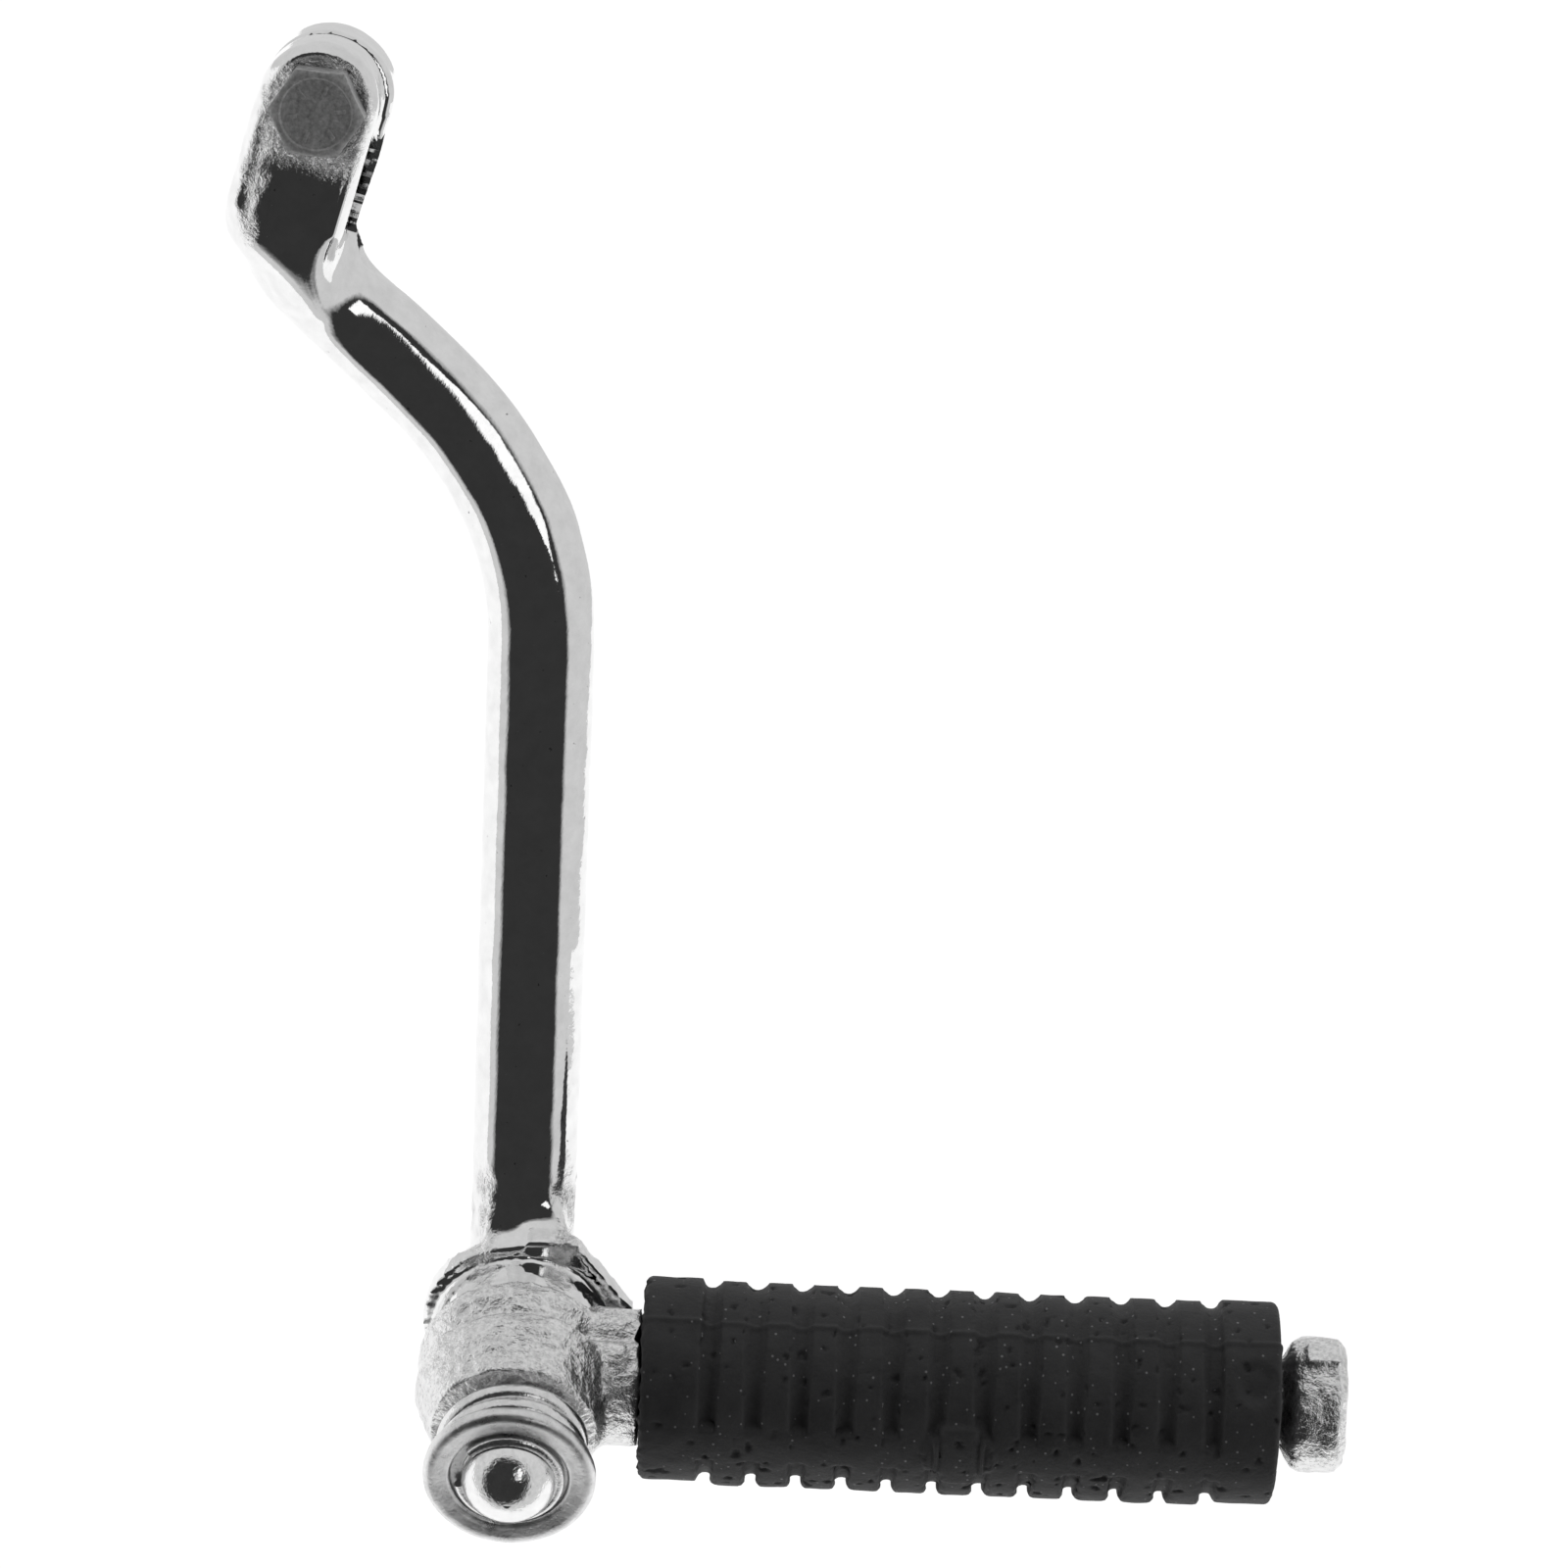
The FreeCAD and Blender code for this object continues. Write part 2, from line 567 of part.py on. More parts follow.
def peg_spring():
    """Coil spring between the hub and the plate."""
    body = new_body("peg_spring")
    wire = size["spring_wire"]
    travel = size["spring_gap"] - wire - size["face_gap"] * 2
    start = hub_front + wire / 2 + size["face_gap"]
    sketch = new_sketch(body, "wire_section", "XZ_Plane")
    draw_circle(sketch, spring_centre, start, wire / 2)
    coil = body.newObject("PartDesign::AdditiveHelix", "coil")
    coil.Profile = sketch
    coil.ReferenceAxis = (sketch, ["V_Axis"])
    coil.Mode = "height-turns-angle"
    coil.setExpression("Height", travel.formula)
    coil.setExpression("Turns", size["spring_turns"].formula)
    place(body, "Placement", pivot, PIN_TURNS)
    return body


# ---------------------------------------------------------------- foot peg


def foot_peg():
    """Hub on the pin, neck, rod and end head, with the stop pocket in the hub's back face."""
    body = new_body("foot_peg")
    hub = new_sketch(body, "hub_section", "XZ_Plane")
    rim = hub_radius
    nose = size["pin_radius"] + size["hub_nose_wall"]
    inner = size["pin_radius"] / 2
    draw_outline(hub, [(inner, hub_back), (rim, hub_back), (rim, hub_back + size["hub_rim"]),
                       (nose, hub_front), (inner, hub_front)])
    revolve(body, hub, "hub", "Revolution")
    rod = new_sketch(body, "rod_section", "XY_Plane", (0, 0, rod_depth), (("z", 0),))
    start = size["pin_radius"]
    neck = size["neck_outer"]
    shaft = size["rod_radius"]
    head = rubber_end + size["head_gap"]
    edge = size["head_edge"]
    tip = head + size["head_length"]
    draw_outline(rod, [(start, 0), (start, neck), (neck_end, neck), (neck_end, shaft),
                       (head, shaft), (head + edge, size["head_radius"] - edge / 2),
                       (head + edge * 2, size["head_radius"]), (tip - edge, size["head_radius"]),
                       (tip, size["head_radius"] - edge), (tip, 0)])
    revolve(body, rod, "rod", "Revolution", axis="H_Axis")
    tab = new_sketch(body, "head_tab_outline", "YZ_Plane", (0, rod_depth, head + edge * 2), (("z", 0),))
    half = size["head_tab_width"] / 2
    high = size["head_radius"] + size["head_tab_rise"]
    draw_outline(tab, [(0, -half), (high, -half), (high, half), (0, half)])
    pad(body, tab, "head_tab", size["head_length"] - edge * 3)
    relief = new_sketch(body, "boss_relief_circle", "XY_Plane", (0, 0, hub_back), (("z", 0),))
    draw_circle(relief, 0, 0, boss_radius + size["lug_clearance"])
    pocket(body, relief, "boss_relief", size["neck_outer"] * 2)
    bore = new_sketch(body, "pin_bore_circle", "XY_Plane", (0, 0, hub_back - OVERSHOOT), (("z", 0),))
    draw_circle(bore, 0, 0, size["pin_radius"] + size["pin_clearance"])
    pocket(body, bore, "pin_bore", size["hub_length"] + OVERSHOOT * 2, backwards=True)
    first = size["lug_start"] - size["fold_angle"] - size["lug_clearance"]
    stop = new_sketch(body, "stop_pocket_section", "XZ_Plane", turns=(("y", first),))
    gap = size["lug_clearance"]
    floor = hub_back + size["lug_height"] + gap
    draw_outline(stop, [(lug_inner - gap, hub_back - OVERSHOOT), (lug_outer + gap, hub_back - OVERSHOOT),
                        (lug_outer + gap, floor), (lug_inner - gap, floor)])
    revolve(body, stop, "stop_pocket", "Groove", angle=lug_sweep)
    place(body, "Placement", pivot, PIN_TURNS)
    return body


def peg_rubber():
    """Moulded sleeve with rings of ribs, and one plain band along its length."""
    body = new_body("peg_rubber")
    sleeve = new_sketch(body, "sleeve_section", "XY_Plane", (0, 0, rod_depth), (("z", 0),))
    start = rubber_start
    end = rubber_end
    lip = size["end_lip"]
    outer = rubber_radius
    draw_outline(sleeve, [(start, size["rod_radius"]), (start, outer - lip), (start + lip, outer),
                          (end - lip, outer), (end, outer - lip), (end, size["rod_radius"])])
    revolve(body, sleeve, "sleeve", "Revolution", axis="H_Axis")
    ribbed = size["rib_pitch"] * size["groove_count"] - size["rib_top"]
    first = start + (size["rubber_length"] - ribbed) / 2
    mouth = size["rib_pitch"] - size["rib_top"]
    flank = (mouth - size["groove_floor"]) / 2
    floor = outer - size["groove_depth"]
    past = outer + OVERSHOOT
    ring = new_sketch(body, "groove_section", "XY_Plane", (0, 0, rod_depth), (("z", 0),))
    draw_outline(ring, [(first, past), (first, outer), (first + flank, floor),
                        (first + mouth - flank, floor), (first + mouth, outer), (first + mouth, past)])
    groove = revolve(body, ring, "groove", "Groove", axis="H_Axis")
    doc.recompute()
    row = body.newObject("PartDesign::LinearPattern", "grooves")
    row.Originals = [groove]
    row.Direction = (ring, ["H_Axis"])
    row.Mode = "Spacing"
    row.setExpression("Offset", size["rib_pitch"].formula)
    row.setExpression("Occurrences", size["groove_count"].formula)
    body.Tip = row
    turn = size["plain_band_place"] - size["plain_band_angle"] / 2
    band = new_sketch(body, "plain_band_section", "XY_Plane", (0, 0, rod_depth), (("x", turn),))
    low = size["rod_radius"] + size["rubber_wall"] / 2
    draw_outline(band, [(first - lip, low), (first - lip, outer), (first + ribbed + lip, outer),
                        (first + ribbed + lip, low)])
    revolve(body, band, "plain_band", "Revolution", axis="H_Axis", angle=size["plain_band_angle"])
    place(body, "Placement", pivot, PIN_TURNS)
    return body


pieces = [lever_arm(), pinch_bolt(), pivot_pin(), snap_ring(), spring_plate(), peg_spring(), foot_peg(),
          peg_rubber()]
doc.recompute()

for item in doc.Objects:
    if "Invalid" in item.State or "Error" in item.State:
        raise RuntimeError("%s failed: %s" % (item.Name, item.State))
for piece in pieces:
    if piece.Shape.isNull() or not piece.Shape.isValid() or len(piece.Shape.Solids) != 1:
        raise RuntimeError("%s has no single sound solid" % piece.Label)

os.makedirs("parts", exist_ok=True)
for piece in pieces:
    piece.Shape.exportStep("parts/%s.step" % piece.Label)
    print("%s: %.1f mm3" % (piece.Label, piece.Shape.Volume))
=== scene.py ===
import json
import math

import bmesh
import bpy
from mathutils import Matrix, Vector, noise


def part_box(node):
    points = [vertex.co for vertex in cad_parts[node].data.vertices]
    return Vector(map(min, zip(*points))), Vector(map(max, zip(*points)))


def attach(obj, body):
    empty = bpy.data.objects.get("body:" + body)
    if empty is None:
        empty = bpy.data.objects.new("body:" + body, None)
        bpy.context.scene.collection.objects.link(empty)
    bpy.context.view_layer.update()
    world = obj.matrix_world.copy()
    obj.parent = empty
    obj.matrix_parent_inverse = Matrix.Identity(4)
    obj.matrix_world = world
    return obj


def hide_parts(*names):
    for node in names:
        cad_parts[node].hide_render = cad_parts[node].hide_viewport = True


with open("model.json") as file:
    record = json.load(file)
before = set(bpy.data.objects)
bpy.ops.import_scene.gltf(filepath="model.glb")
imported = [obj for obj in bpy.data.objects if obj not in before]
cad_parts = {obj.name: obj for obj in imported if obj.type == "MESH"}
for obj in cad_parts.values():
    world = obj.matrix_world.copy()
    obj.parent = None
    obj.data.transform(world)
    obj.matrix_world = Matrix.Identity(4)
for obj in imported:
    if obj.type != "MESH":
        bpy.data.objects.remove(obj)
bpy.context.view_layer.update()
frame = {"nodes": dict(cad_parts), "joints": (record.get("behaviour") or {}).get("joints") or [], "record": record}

MM = 0.001
NODES = frame["nodes"]

# The pivot pin's frame: its axis, the open peg's direction, and the way the peg points when folded.
FOLD = frame["joints"][0]
PIVOT = Vector(FOLD["pos_m"])
PIN = Vector(FOLD["axis"]).normalized()
lean = math.atan2(PIN.x, -PIN.z)
PEG = Vector((math.cos(lean), 0, math.sin(lean)))
RISE = PIN.cross(PEG).normalized()


# ------------------------------------------------------------------ camera, floor and light

AIM = Vector((84.4, -21.1, -56.4)) * MM
CAMERA_AWAY = 776.1 * MM
CAMERA_BACK = Vector((-0.0723, -0.9647, 0.2533)).normalized()
CAMERA_ROLL = math.radians(18.0)
LENS = 134.3
DARK_MIDDLE = Vector((-0.0723, -0.9934, -0.0872)).normalized()
FLOOR = -0.42
FLOOR_WIDTH = 12.0
FLOOR_FRONT = -0.1
SOFTBOX_WAY = (0.36, -0.90, 0.27)
SOFTBOX_AWAY = 0.95
SOFTBOX_SIZE = (0.26, 0.46)
SOFTBOX_POWER = 0.42


def set_camera():
    data = bpy.data.cameras.new("camera")
    data.lens = LENS
    data.clip_start = 0.05
    data.clip_end = 50
    camera = bpy.data.objects.new("camera", data)
    bpy.context.scene.collection.objects.link(camera)
    turn = CAMERA_BACK.to_track_quat("Z", "Y").to_matrix() @ Matrix.Rotation(CAMERA_ROLL, 3, "Z")
    camera.matrix_world = Matrix.Translation(AIM + CAMERA_BACK * CAMERA_AWAY) @ turn.to_4x4()
    bpy.context.scene.camera = camera


def add_node(tree, kind, values=None, **settings):
    node = tree.nodes.new(kind)
    for name, value in settings.items():
        setattr(node, name, value)
    for socket, value in (values or {}).items():
        node.inputs[socket].default_value = value
    return node


def lay_floor():
    bpy.ops.object.select_all(action="DESELECT")
    bpy.ops.mesh.primitive_plane_add(size=FLOOR_WIDTH, location=(0, FLOOR_WIDTH / 2 + FLOOR_FRONT, FLOOR))
    floor = bpy.context.object
    floor.name = "floor"
    material = bpy.data.materials.new("pale_floor")
    material.use_nodes = True
    shader = material.node_tree.nodes["Principled BSDF"]
    shader.inputs["Base Color"].default_value = (0.96, 0.96, 0.96, 1)
    shader.inputs["Roughness"].default_value = 0.9
    shader.inputs["Emission Color"].default_value = (1, 1, 1, 1)
    shader.inputs["Emission Strength"].default_value = 0.5
    floor.data.materials.append(material)


def light_room():
    """White studio with the dark of the room round the maker's own place in front of the lever."""
    world = bpy.data.worlds.new("studio")
    bpy.context.scene.world = world
    world.use_nodes = True
    tree = world.node_tree
    back = tree.nodes["Background"]
    place = add_node(tree, "ShaderNodeTexCoord")
    squeeze = add_node(tree, "ShaderNodeVectorMath", operation="MULTIPLY")
    squeeze.inputs[1].default_value = (1.0, 1.0, 0.8)
    even = add_node(tree, "ShaderNodeVectorMath", operation="NORMALIZE")
    front = add_node(tree, "ShaderNodeVectorMath", operation="DOT_PRODUCT")
    front.inputs[1].default_value = DARK_MIDDLE
    patches = add_node(tree, "ShaderNodeTexNoise", {"Scale": 3.0, "Detail": 3.0})
    shift = add_node(tree, "ShaderNodeMath", {1: 0.22}, operation="MULTIPLY")
    total = add_node(tree, "ShaderNodeMath", operation="ADD")
    ramp = add_node(tree, "ShaderNodeValToRGB")
    ramp.color_ramp.elements[0].position = 0.66
    ramp.color_ramp.elements[0].color = (0.66, 0.66, 0.66, 1)
    ramp.color_ramp.elements[1].position = 0.80
    ramp.color_ramp.elements[1].color = (0.035, 0.035, 0.035, 1)
    path = add_node(tree, "ShaderNodeLightPath")
    choose = add_node(tree, "ShaderNodeMix", data_type="RGBA")
    choose.inputs["B"].default_value = (1.1, 1.1, 1.1, 1)
    link = tree.links.new
    link(place.outputs["Generated"], squeeze.inputs[0])
    link(squeeze.outputs["Vector"], even.inputs[0])
    link(even.outputs["Vector"], front.inputs[0])
    link(place.outputs["Generated"], patches.inputs["Vector"])
    link(patches.outputs["Fac"], shift.inputs[0])
    link(front.outputs["Value"], total.inputs[0])
    link(shift.outputs[0], total.inputs[1])
    link(total.outputs[0], ramp.inputs["Fac"])
    link(ramp.outputs["Color"], choose.inputs["A"])
    link(path.outputs["Is Camera Ray"], choose.inputs["Factor"])
    link(choose.outputs["Result"], back.inputs["Color"])


def hang_light(name, toward, away, size, power):
    """Soft rectangular light that faces the lever's middle from a direction."""
    data = bpy.data.lights.new(name, "AREA")
    data.shape = "RECTANGLE"
    data.size, data.size_y = size
    data.energy = power
    lamp = bpy.data.objects.new(name, data)
    bpy.context.scene.collection.objects.link(lamp)
    way = Vector(toward).normalized()
    turn = way.to_track_quat("Z", "Y").to_matrix().to_4x4()
    lamp.matrix_world = Matrix.Translation(AIM + way * away) @ turn


# ------------------------------------------------------------------ finishes


def new_finish(name):
    material = bpy.data.materials.new(name)
    material.use_nodes = True
    tree = material.node_tree
    place = add_node(tree, "ShaderNodeTexCoord").outputs["Object"]
    return material, tree, tree.nodes["Principled BSDF"], place


def noise_at(tree, place, scale, detail=4.0, roughness=0.55, stretch=None):
    node = add_node(tree, "ShaderNodeTexNoise", {"Scale": scale, "Detail": detail, "Roughness": roughness})
    if stretch is not None:
        turn = add_node(tree, "ShaderNodeMapping")
        turn.inputs["Scale"].default_value = stretch
        tree.links.new(place, turn.inputs["Vector"])
        place = turn.outputs["Vector"]
    tree.links.new(place, node.inputs["Vector"])
    return node.outputs["Fac"]


def grade(tree, value, low, high, start, end):
    """Colour or grey that runs from one value to another over part of a pattern's range."""
    ramp = add_node(tree, "ShaderNodeValToRGB")
    for element, position, shade in zip(ramp.color_ramp.elements, (low, high), (start, end)):
        element.position = position
        element.color = (*shade, 1) if isinstance(shade, tuple) else (shade, shade, shade, 1)
    tree.links.new(value, ramp.inputs["Fac"])
    return ramp.outputs["Color"]


def raise_bumps(tree, layers):
    """Bump nodes in a row, one for each (height, strength, distance)."""
    normal = None
    for height, strength, distance in layers:
        bump = add_node(tree, "ShaderNodeBump", {"Strength": strength, "Distance": distance})
        tree.links.new(height, bump.inputs["Height"])
        if normal is not None:
            tree.links.new(normal, bump.inputs["Normal"])
        normal = bump.outputs["Normal"]
    return normal


def multiply(tree, first, second):
    node = add_node(tree, "ShaderNodeMix", {"Factor": 1.0}, data_type="RGBA", blend_type="MULTIPLY")
    tree.links.new(first, node.inputs["A"])
    tree.links.new(second, node.inputs["B"])
    return node.outputs["Result"]


def plated_finish(name, tone, gloss, hammer, pits, scratch):
    """Chrome plate over a forging: hammer is the cast unevenness, pits and scratch the small marks."""
    material, tree, shader, place = new_finish(name)
    shader.inputs["Metallic"].default_value = 1.0
    broad = noise_at(tree, place, 260.0, 3.0)
    clouds = noise_at(tree, place, 900.0, 5.0, 0.65)
    marks = noise_at(tree, place, 2600.0, 2.0)
    hair = noise_at(tree, place, 1.0, 3.0, 0.6, stretch=(9000.0, 9000.0, 260.0))
    base = grade(tree, clouds, 0.30, 0.62, tone * 0.86, tone)
    specks = grade(tree, marks, 0.20, 0.27, 0.55, 1.0)
    tree.links.new(multiply(tree, base, specks), shader.inputs["Base Color"])
    tree.links.new(grade(tree, clouds, 0.35, 0.75, gloss, gloss + 0.10), shader.inputs["Roughness"])
    normal = raise_bumps(tree, ((broad, hammer, 0.0012), (marks, pits, 0.00015), (hair, scratch, 0.00004)))
    tree.links.new(normal, shader.inputs["Normal"])
    return material


def forged_finish():
    """Polished chrome that turns rough and crumpled where the piece's own "cast" value is high."""
    material, tree, shader, place = new_finish("forged_chrome")
    link = tree.links.new
    shader.inputs["Metallic"].default_value = 1.0
    cast = add_node(tree, "ShaderNodeAttribute", attribute_name="cast").outputs["Fac"]
    swell = noise_at(tree, place, 75.0, 2.0)
    crumple = noise_at(tree, place, 420.0, 5.0, 0.62)
    grit = noise_at(tree, place, 1500.0, 4.0, 0.6)
    pits = noise_at(tree, place, 1100.0, 2.0)
    hair = noise_at(tree, place, 1.0, 3.0, 0.6, stretch=(5200.0, 900.0, 240.0))
    shine = grade(tree, crumple, 0.30, 0.70, 0.80, 0.92)
    flecks = grade(tree, grit, 0.30, 0.58, 0.50, 0.95)
    tone = add_node(tree, "ShaderNodeMix", data_type="RGBA")
    link(cast, tone.inputs["Factor"])
    link(shine, tone.inputs["A"])
    link(flecks, tone.inputs["B"])
    dots = grade(tree, pits, 0.22, 0.27, 0.35, 1.0)
    link(multiply(tree, tone.outputs["Result"], dots), shader.inputs["Base Color"])
    gloss = add_node(tree, "ShaderNodeMapRange", {"To Min": 0.05, "To Max": 0.20})
    link(cast, gloss.inputs["Value"])
    link(gloss.outputs["Result"], shader.inputs["Roughness"])
    normal = raise_bumps(tree, ((swell, 0.10, 0.0030), (hair, 0.10, 0.00004), (pits, 0.10, 0.0001)))
    for height, depth in ((crumple, 0.0016), (grit, 0.00035)):
        bump = add_node(tree, "ShaderNodeBump", {"Distance": depth})
        link(cast, bump.inputs["Strength"])
        link(height, bump.inputs["Height"])
        link(normal, bump.inputs["Normal"])
        normal = bump.outputs["Normal"]
    link(normal, shader.inputs["Normal"])
    return material


def cast_chrome():
    """Chrome over a rough casting: crumpled, with bright and dark flecks."""
    material, tree, shader, place = new_finish("cast_chrome")
    shader.inputs["Metallic"].default_value = 1.0
    crumple = noise_at(tree, place, 330.0, 5.0, 0.62)
    grit = noise_at(tree, place, 1500.0, 4.0, 0.6)
    base = grade(tree, grit, 0.28, 0.60, 0.62, 0.90)
    tree.links.new(base, shader.inputs["Base Color"])
    tree.links.new(grade(tree, crumple, 0.3, 0.7, 0.10, 0.26), shader.inputs["Roughness"])
    normal = raise_bumps(tree, ((crumple, 0.75, 0.0011), (grit, 0.45, 0.00028)))
    tree.links.new(normal, shader.inputs["Normal"])
    return material


def bolt_steel():
    """Dull grey steel, grainy and darker in patches."""
    material, tree, shader, place = new_finish("bolt_steel")
    shader.inputs["Metallic"].default_value = 0.2
    grain = noise_at(tree, place, 1700.0, 6.0, 0.7)
    stain = noise_at(tree, place, 300.0, 3.0)
    base = multiply(tree, grade(tree, grain, 0.3, 0.7, 0.26, 0.62), grade(tree, stain, 0.3, 0.7, 0.75, 1.0))
    tree.links.new(base, shader.inputs["Base Color"])
    tree.links.new(grade(tree, grain, 0.3, 0.7, 0.30, 0.48), shader.inputs["Roughness"])
    tree.links.new(raise_bumps(tree, ((grain, 0.6, 0.00012),)), shader.inputs["Normal"])
    return material


def zinc_plate():
    material, tree, shader, place = new_finish("plate_zinc")
    shader.inputs["Metallic"].default_value = 1.0
    mottle = noise_at(tree, place, 420.0, 6.0, 0.7)
    grain = noise_at(tree, place, 2400.0, 3.0)
    clouds = grade(tree, mottle, 0.35, 0.65, 0.66, 0.90)
    base = multiply(tree, clouds, grade(tree, grain, 0.2, 0.4, 0.82, 1.0))
    tree.links.new(base, shader.inputs["Base Color"])
    tree.links.new(grade(tree, mottle, 0.3, 0.7, 0.22, 0.42), shader.inputs["Roughness"])
    tree.links.new(raise_bumps(tree, ((mottle, 0.25, 0.0003), (grain, 0.3, 0.0001))), shader.inputs["Normal"])
    return material


def black_rubber():
    """Moulded rubber: grey-black, dusty in patches, with pale grit in the surface."""
    material, tree, shader, place = new_finish("black_rubber")
    dust = noise_at(tree, place, 130.0, 6.0, 0.65)
    fine = noise_at(tree, place, 2100.0, 4.0, 0.6)
    grit = add_node(tree, "ShaderNodeTexVoronoi", {"Scale": 620.0, "Randomness": 1.0})
    tree.links.new(place, grit.inputs["Vector"])
    specks = grade(tree, grit.outputs["Distance"], 0.07, 0.14, 5.0, 1.0)
    base = multiply(tree, grade(tree, dust, 0.3, 0.75, (0.028, 0.028, 0.029), (0.056, 0.056, 0.057)), specks)
    tree.links.new(base, shader.inputs["Base Color"])
    tree.links.new(grade(tree, dust, 0.3, 0.7, 0.56, 0.74), shader.inputs["Roughness"])
    shader.inputs["Specular IOR Level"].default_value = 0.28
    tree.links.new(raise_bumps(tree, ((dust, 0.5, 0.0008), (fine, 0.6, 0.00016))), shader.inputs["Normal"])
    return material


# ------------------------------------------------------------------ shaping helpers


def copy_of(node, name):
    """Copy of a CAD node's mesh as its own object, with its loose triangles joined."""
    bpy.ops.object.select_all(action="DESELECT")
    piece = bpy.data.objects.new(name, NODES[node].data.copy())
    bpy.context.scene.collection.objects.link(piece)
    piece.data.materials.clear()
    piece.select_set(True)
    bpy.context.view_layer.objects.active = piece
    bpy.ops.object.mode_set(mode="EDIT")
    bpy.ops.mesh.select_all(action="SELECT")
    bpy.ops.mesh.remove_doubles(threshold=0.002 * MM)
    bpy.ops.object.mode_set(mode="OBJECT")
    return piece


def apply_all(piece):
    bpy.ops.object.select_all(action="DESELECT")
    piece.select_set(True)
    bpy.context.view_layer.objects.active = piece
    for modifier in list(piece.modifiers):
        bpy.ops.object.modifier_apply(modifier=modifier.name)


def even_out(piece, voxel, rounds):
    """Even skin over the piece, then smoothing that melts its edges together like a casting's."""
    skin = piece.modifiers.new("skin", "REMESH")
    skin.mode = "VOXEL"
    skin.voxel_size = voxel * MM
    melt = piece.modifiers.new("melt", "SMOOTH")
    melt.factor = 0.5
    melt.iterations = rounds
    apply_all(piece)


def shade_smooth(piece, angle=None):
    bpy.ops.object.select_all(action="DESELECT")
    piece.select_set(True)
    bpy.context.view_layer.objects.active = piece
    if angle is None:
        bpy.ops.object.shade_smooth()
    else:
        bpy.ops.object.shade_smooth_by_angle(angle=math.radians(angle))


def near(value, start, end):
    """0 before start and 1 after end, with soft shoulders between."""
    share = min(1.0, max(0.0, (value - start) / (end - start)))
    return share * share * (3 - 2 * share)


def in_pin_frame(point):
    away = point - PIVOT
    return Vector((away.dot(PEG), away.dot(RISE), away.dot(PIN))) / MM


def press(piece, push):
    """Moves every point by push(place, normal), both read before anything moves."""
    places = [vertex.co.copy() for vertex in piece.data.vertices]
    normals = [vertex.normal.copy() for vertex in piece.data.vertices]
    moved = []
    for place, normal in zip(places, normals):
        moved.extend(place + push(place, normal))
    piece.data.vertices.foreach_set("co", moved)
    piece.data.update()


def cut(piece, tool):
    bite = piece.modifiers.new("bite", "BOOLEAN")
    bite.operation = "DIFFERENCE"
    bite.solver = "EXACT"
    bite.object = tool
    apply_all(piece)
    bpy.data.objects.remove(tool, do_unlink=True)


def finish(piece, material, body, node):
    piece.data.materials.clear()
    for item in (material if isinstance(material, tuple) else (material,)):
        piece.data.materials.append(item)
    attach(piece, body)
    if node is not None:
        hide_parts(node)


# ------------------------------------------------------------------ lever arm

BORE = frame["record"]["mounts"][0]["dims"]["r_mm"]
CLAMP_WIDTH = frame["record"]["mounts"][0]["dims"]["length_mm"]
TOOTH_DEPTH = 1.0
TEETH = 32
CUTTER_PAST = 1
BORE_FILL = 1.2


def serration_cutter():
    """Toothed bar through the bore: a many-sided cylinder with every other edge drawn out."""
    bpy.ops.object.select_all(action="DESELECT")
    bpy.ops.mesh.primitive_cylinder_add(vertices=TEETH * 2, radius=BORE * MM,
                                        depth=(CLAMP_WIDTH + CUTTER_PAST) * MM,
                                        rotation=(0, math.pi / 2, 0))
    bar = bpy.context.object
    bpy.ops.object.transform_apply(location=False, rotation=True, scale=True)
    for vertex in bar.data.vertices:
        turn = math.atan2(vertex.co.z, vertex.co.y) / (math.pi / TEETH)
        if round(turn) % 2:
            vertex.co.y *= (BORE + TOOTH_DEPTH) / BORE
            vertex.co.z *= (BORE + TOOTH_DEPTH) / BORE
    return bar


BOLT_LOW, BOLT_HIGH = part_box("pinch_bolt")
BOLT_HEIGHT = (BOLT_LOW.z + BOLT_HIGH.z) / 2 / MM
HEAD_HEIGHT = 4.8
SEAT = BOLT_LOW.y / MM + HEAD_HEIGHT


def melt_zone(piece, name, weight, rounds):
    """Smooths the piece only where weight(point in mm) is above zero."""
    group = piece.vertex_groups.new(name=name)
    for vertex in piece.data.vertices:
        share = weight(vertex.co / MM)
        if share > 0:
            group.add([vertex.index], share, "REPLACE")
    melt = piece.modifiers.new(name, "SMOOTH")
    melt.vertex_group = name
    melt.iterations = rounds
    apply_all(piece)
    piece.vertex_groups.clear()


def neck_weight(point):
    """The clamp's foot and the start of the bar, where the forging flows from one to the other."""
    return near(point.z, -36, -26) * (1 - near(point.z, -9.5, -5.5))


def foot_weight(point):
    where = in_pin_frame(point * MM)
    return near(where.y, 9.5, 12.5) * (1 - near(where.y, 24, 30)) * (1 - near(where.z, 4.6, 5.6))


def cast_weight(point):
    """How rough the forging was left: round the bolt, on the clamp's left side and at the foot."""
    where = in_pin_frame(point * MM)
    blotch = 0.5 + 0.9 * noise.noise(point * 0.28)
    front = 1 - near(point.y, SEAT + 0.8, SEAT + 3.0)
    arch = math.hypot(point.x, max(0.0, point.z - BOLT_HEIGHT))
    recess = front * (1 - near(arch, 6.2, 7.6)) * near(point.z, -1.0, 5.0)
    side = (1 - near(point.x, -4.0, -2.4)) * near(point.z, -13, -9) * (1 - near(point.z, 9, 15)) * front
    foot = near(where.y, 9.0, 12.0) * (1 - near(where.y, 17.0, 23.0)) * near(abs(where.x), 2.5, 6.0)
    return min(1.0, max(recess, side * blotch, foot * blotch))


